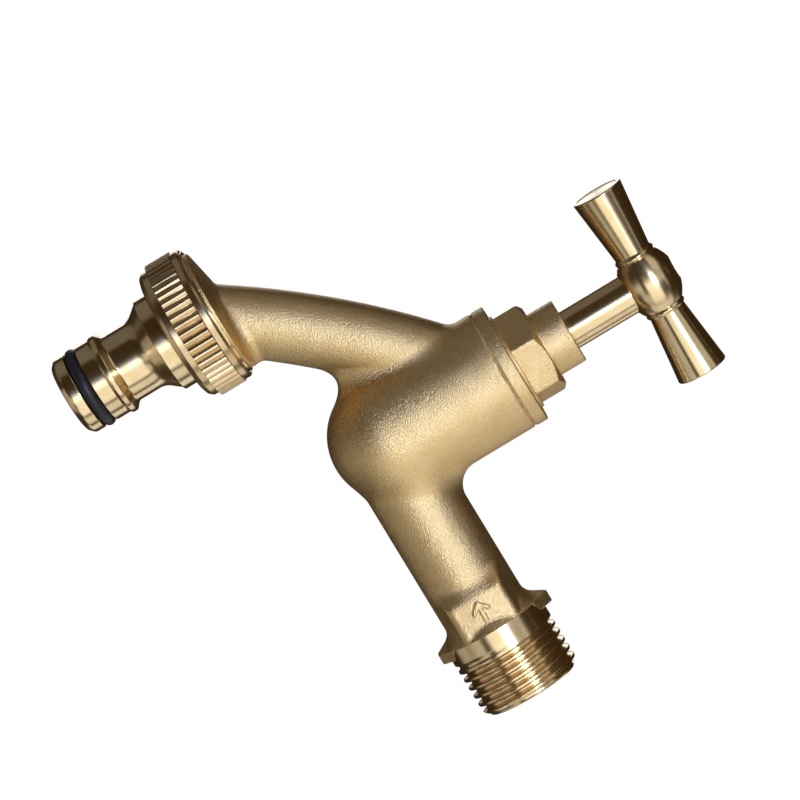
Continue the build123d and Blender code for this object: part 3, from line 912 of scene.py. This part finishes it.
def make_bar():
    """The T-bar: a barrel, and on each side of it a bead, a cone and a slightly hollowed end."""
    end = BAR_HALF - BAR_END_HOLLOW
    # These are (distance from the middle, radius, fillet), mirrored for the other side.
    side_corners = [
        (BARREL_HALF, 4.12, 0.1),
        (5.42, 3.88, 0.08),
        (6.0, 4.2, 0.55),
        (6.6, 3.66, 0.1),
        (BAR_HALF, 5.17, 0.35),
        (BAR_HALF, 4.45, 0.12),
        (end, 4.3, 0.1),
    ]
    barrel = []
    for k in range(-BARREL_STEPS, BARREL_STEPS + 1):
        x = BARREL_HALF * k / (BARREL_STEPS + 0.5)
        barrel.append((x, BARREL_R - BARREL_ARC_R + math.sqrt(BARREL_ARC_R**2 - x * x), 0))
    left = [(-x, r, f) for x, r, f in side_corners[::-1]]
    run = [(-end, 0)] + left + barrel + side_corners + [(end, 0)]
    corners = [(r, x, *f) for x, r, *f in run]
    bar = lathe("handle_bar_turned", corners, bar_brass, BAR_CENTRE, BAR_AXIS, UP, segments=192)
    # The hole for the spindle, a little wider than it and longer than the bar is thick.
    shaft_hole, rivet_hole = SHAFT_R + 0.01, RIVET_R + 0.02
    below, above = BAR_Z - 8, BAR_Z + 8
    bore = [
        (0, below),
        (shaft_hole, below, 0),
        (shaft_hole, SHOULDER_Z, 0),
        (rivet_hole, SHOULDER_Z, 0),
        (rivet_hole, above, 0),
        (0, above),
    ]
    boolean(bar, lathe("bore_tool", bore, bar_brass, SPINDLE_FOOT, segments=96), "DIFFERENCE")
    place(bar, "handle", "bar_brass", "handle_bar")


make_spindle()
make_bar()

# ------------------------------------------------------------------ union: nipple, O-ring and nut
TIP_R = 8.0
TAIL_BORE_R = 4.8
FLANGE_R = 13.2
FLANGE_FRONT_Z = TAIL_TOP_Z - 1.7
HUB_R = 9.8
WAIST_R = 7.06
BEAD_R = 8.42
GROOVE_R = 5.86
GROOVE_HALF = 1.3
SECTION_STEPS = 40
SEAM_H = 0.02
SEAM_WIDTH = 0.12
NUT_BAND_R = 14.1
KNURL_REAR_Z, KNURL_FRONT_Z = -16.1, -21.6
NUT_RIBS = 50
RIB_STEPS = 16
NUT_ROOT_R = 13.8
RIB_H = 0.6
RIB_TURN = math.radians(4.8)
NUT_RING_R = 13.6
NUT_BORE_R = 13.3
NUT_MOUTH_R = 9.9


def make_nipple():
    """The nipple: flange in the nut, hub, concave flare, waist, bead, O-ring groove and tip."""
    corners = [
        (TAIL_BORE_R, -30.0, 0.5),
        (OUTLET_BORE_R, TAIL_TOP_Z, 0.2),
        (FLANGE_R, TAIL_TOP_Z, 0.2),
        (FLANGE_R, FLANGE_FRONT_Z, 0.2),
        (HUB_R, FLANGE_FRONT_Z, 0.1),
        (HUB_R, -26.95, 0.3),
        (9.35, -27.05, 0.15),
        (WAIST_R, -29.9, 3.4),
        (WAIST_R, -35.7, 0.9),
        (BEAD_R, -36.9, 0.45),
        (BEAD_R, -37.75, 0.25),
        (TIP_R, -38.35, 0.25),
        (TIP_R, O_RING_Z + GROOVE_HALF, 0.2),
        (GROOVE_R, O_RING_Z + GROOVE_HALF, 0.15),
        (GROOVE_R, O_RING_Z - GROOVE_HALF, 0.15),
        (TIP_R, O_RING_Z - GROOVE_HALF, 0.2),
        (TIP_R, TIP_END_Z + 1.1, 1.0),
        (6.9, TIP_END_Z, 0.9),
        (TAIL_BORE_R, TIP_END_Z, 0.35),
    ]
    nipple = lathe("hose_nipple_turned", corners, outlet_brass, OUTLET_FOOT)
    place(nipple, "tail", "turned_brass", "hose_nipple")


def make_o_ring():
    """A moulded ring, with the faint parting line of its mould."""
    section = (O_RING_R - GROOVE_R) / 2
    centre = GROOVE_R + section
    outline = []
    for k in range(SECTION_STEPS):
        turn = 2 * math.pi * k / SECTION_STEPS
        seam = 0
        if math.cos(turn) > 0:
            seam = SEAM_H * math.exp(-((math.sin(turn) / SEAM_WIDTH) ** 2))
        reach = section + seam - SEAM_H
        outline.append((centre + reach * math.cos(turn), O_RING_Z + reach * math.sin(turn)))
    points, faces = turned_grid(outline, 192, OUTLET_FOOT, UP, TO_WALL)
    o_ring = new_piece("nipple_o_ring_moulded", points, faces, black_rubber)
    place(o_ring, "tail", "black_rubber", "nipple_o_ring")


def make_nut():
    """The union nut: a smooth band, straight ribs, and a smaller smooth ring in front."""
    rear, front = KNURL_REAR_Z, KNURL_FRONT_Z
    corners = [
        (13.55, NUT_REAR_Z, 0.1),
        (13.75, NUT_REAR_Z, 0.1),
        (NUT_BAND_R, NUT_REAR_Z - 0.45, 0.12),
        (NUT_BAND_R, rear, 0.08),
        (NUT_ROOT_R, rear, 0.02),
        (NUT_ROOT_R, rear - 0.12, 0),
        (NUT_ROOT_R, front + 0.12, 0),
        (NUT_ROOT_R, front, 0.02),
        (NUT_RING_R, front, 0.05),
        (NUT_RING_R, -22.75, 0.3),
        (12.9, -23.6, 0.5),
        (12.0, NUT_FRONT_Z, 0.4),
        (NUT_MOUTH_R, NUT_FRONT_Z, 0.3),
        (NUT_MOUTH_R, FLANGE_FRONT_Z, 0.1),
        (NUT_BORE_R, FLANGE_FRONT_Z, 0.1),
        (NUT_BORE_R, NUT_REAR_Z - 0.4, 0.1),
    ]
    outline = [tuple(p) for p in rounded(corners)]
    # The ribs stand on the root between rear and front, and stop short of both.
    weights = []
    for radius, z in outline:
        inset = min(rear - z, z - front)
        on_root = abs(radius - NUT_ROOT_R) < 1e-6
        weights.append(1.0 if on_root and inset > 0.05 else 0.0)

    def swell(k, turn):
        phase = ((turn - RIB_TURN) * NUT_RIBS / (2 * math.pi)) % 1.0
        off = np.minimum(phase, 1 - phase) * 2
        return weights[k] * RIB_H * (1 - off**1.8)

    points, faces = turned_grid(outline, NUT_RIBS * RIB_STEPS, OUTLET_FOOT, UP, TO_WALL, swell)
    nut = new_piece("union_nut_knurled", points, faces, nut_brass)
    place(nut, "nut", "nut_brass", "union_nut")


make_nipple()
make_o_ring()
make_nut()

# ------------------------------------------------------------------ CAD nodes that stay get their looks
LOOKS = {
    "seat_ring": spindle_brass,
    "bonnet_gasket": brown_fibre,
    "stem_ring_lower": black_rubber,
    "stem_ring_upper": black_rubber,
    "jumper": spindle_brass,
    "seat_washer": black_rubber,
    "washer_nut": spindle_brass,
    "outlet_gasket": black_rubber,
}
for node, look in LOOKS.items():
    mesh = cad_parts[node].data
    mesh.materials.clear()
    mesh.materials.append(look)

# ------------------------------------------------------------------ floor, surroundings and camera
# The drop and the radius of the floor are in metres, the rest of it is in mm.
FLOOR_DROP = 1.2
FLOOR_R = 0.45
FLOOR_THICK = 6
FLOOR_COLOR = (0.95, 0.93, 0.9, 1)
FLOOR_GLOW = (1.0, 0.97, 0.92, 1)


def make_floor():
    """A pale disc far below the tap, out of the photo's view, that glows faintly."""
    low, high = cad_box
    centre = ((low[0] + high[0]) / 2 / MM, 0, 0)
    top = (low[2] - FLOOR_DROP) / MM
    corners = [
        (0, top - FLOOR_THICK),
        (FLOOR_R / MM, top - FLOOR_THICK, 2),
        (FLOOR_R / MM, top, 2),
        (0, top),
    ]
    pale = bpy.data.materials.new("pale_floor")
    pale.use_nodes = True
    shader = pale.node_tree.nodes["Principled BSDF"]
    shader.inputs["Base Color"].default_value = FLOOR_COLOR
    shader.inputs["Roughness"].default_value = 0.8
    shader.inputs["Emission Color"].default_value = FLOOR_GLOW
    shader.inputs["Emission Strength"].default_value = 0.2
    floor = lathe("studio_floor", corners, pale, centre, segments=96)


# Soft boxes all round: (azimuth, half width, elevation, half height, edge, brightness), in
# degrees but for the brightness. Azimuth 0 is in front of the tap and 90 on its wall side.
PANELS = (
    (33.5, 28.5, -1, 22, 6, 1.12),
    (48, 14, -38, 14, 6, 0.6),
    (7, 8, 18, 42, 6, 0.8),
    (10, 16, -57, 18, 6, 0.7),
    (84, 14, 0, 36, 5, 0.8),
    (122, 12, 0, 34, 5, 0.8),
    (30, 22, 53, 4, 4, 0.35),
    (8, 14, 84, 3, 3, 0.6),
    (-42, 30, 46, 15, 10, 0.6),
    (-164, 8, 1, 11, 5, 1.6),
    (-100, 30, -10, 45, 12, 0.12),
)
LAMPS = ((0, 5, 17, 7, 2, 19.0),)
PANEL_COLOR = (1.0, 1.06, 1.2)
LAMP_COLOR = (1.0, 1.28, 2.1)
FILL_COLOR = (1.0, 0.62, 0.25)
FILL_LEVEL = 0.035


def make_world():
    """Soft boxes, a lamp and a warm fill for the tap and the floor. The camera itself sees white."""
    world = bpy.data.worlds.new("studio")
    bpy.context.scene.world = world
    world.use_nodes = True
    nodes, links = world.node_tree.nodes, world.node_tree.links
    nodes.clear()

    def math_node(operation, *values):
        """A math node on links and numbers."""
        node = nodes.new("ShaderNodeMath")
        node.operation = operation
        for slot_number, value in enumerate(values):
            if isinstance(value, (int, float)):
                node.inputs[slot_number].default_value = value
            else:
                links.new(value, node.inputs[slot_number])
        return node.outputs[0]

    def band(value, at, half, edge):
        """1 within half of at, falling to 0 over the edge; angles wrap round."""
        turned = math_node("WRAP", math_node("SUBTRACT", value, at), 180.0, -180.0)
        away = math_node("ABSOLUTE", turned)
        node = nodes.new("ShaderNodeMapRange")
        node.interpolation_type = "SMOOTHSTEP"
        node.inputs["From Min"].default_value = half - edge / 2
        node.inputs["From Max"].default_value = half + edge / 2
        node.inputs["To Min"].default_value = 1
        node.inputs["To Max"].default_value = 0
        links.new(away, node.inputs["Value"])
        return node.outputs["Result"]

    direction = nodes.new("ShaderNodeTexCoord").outputs["Generated"]
    parts = nodes.new("ShaderNodeSeparateXYZ")
    links.new(direction, parts.inputs[0])
    x, y, z = parts.outputs
    azimuth = math_node("DEGREES", math_node("ARCTAN2", x, math_node("MULTIPLY", y, -1.0)))
    elevation = math_node("DEGREES", math_node("ARCSINE", z))

    def light(color, panels):
        """A background lit only where the panels are."""
        level = None
        for at_az, half_az, at_el, half_el, edge, brightness in panels:
            sideways = band(azimuth, at_az, half_az, edge)
            upright = band(elevation, at_el, half_el, edge)
            lit = math_node("MULTIPLY", math_node("MULTIPLY", sideways, upright), float(brightness))
            level = lit if level is None else math_node("ADD", level, lit)
        node = nodes.new("ShaderNodeBackground")
        node.inputs["Color"].default_value = (*color, 1)
        links.new(level, node.inputs["Strength"])
        return node.outputs[0]

    def together(first, second):
        """Two backgrounds added."""
        node = nodes.new("ShaderNodeAddShader")
        links.new(first, node.inputs[0])
        links.new(second, node.inputs[1])
        return node.outputs[0]

    fill = nodes.new("ShaderNodeBackground")
    fill.inputs["Color"].default_value = (*FILL_COLOR, 1)
    fill.inputs["Strength"].default_value = FILL_LEVEL
    boxes = together(light(PANEL_COLOR, PANELS), light(LAMP_COLOR, LAMPS))
    surroundings = together(boxes, fill.outputs[0])
    backdrop = nodes.new("ShaderNodeBackground")
    backdrop.inputs["Color"].default_value = (1, 1, 1, 1)
    seen = nodes.new("ShaderNodeLightPath")
    mix = nodes.new("ShaderNodeMixShader")
    links.new(seen.outputs["Is Camera Ray"], mix.inputs["Fac"])
    links.new(surroundings, mix.inputs[1])
    links.new(backdrop.outputs[0], mix.inputs[2])
    out = nodes.new("ShaderNodeOutputWorld")
    links.new(mix.outputs[0], out.inputs["Surface"])
    bpy.context.scene.view_settings.view_transform = "Standard"


CAMERA_AT = Vector((-0.100995, -0.714618, 0.045236))
CAMERA_AZIMUTH = 3.7042
CAMERA_ELEVATION = -3.0492
CAMERA_ROLL = 58.9520
CAMERA_LENS = 168.04


def make_camera():
    """The camera, turned by its azimuth and elevation, then rolled about its own view line."""
    data = bpy.data.cameras.new("camera")
    data.lens = CAMERA_LENS
    data.sensor_width = 36
    data.clip_start, data.clip_end = 0.05, 20
    camera = bpy.data.objects.new("camera", data)
    bpy.context.scene.collection.objects.link(camera)
    aim = Matrix.Rotation(-math.radians(CAMERA_AZIMUTH), 4, "Z")
    tilt = Matrix.Rotation(math.radians(90 + CAMERA_ELEVATION), 4, "X")
    roll = Matrix.Rotation(math.radians(CAMERA_ROLL), 4, "Z")
    camera.matrix_world = Matrix.Translation(CAMERA_AT) @ aim @ tilt @ roll
    bpy.context.scene.camera = camera


make_floor()
make_world()
make_camera()
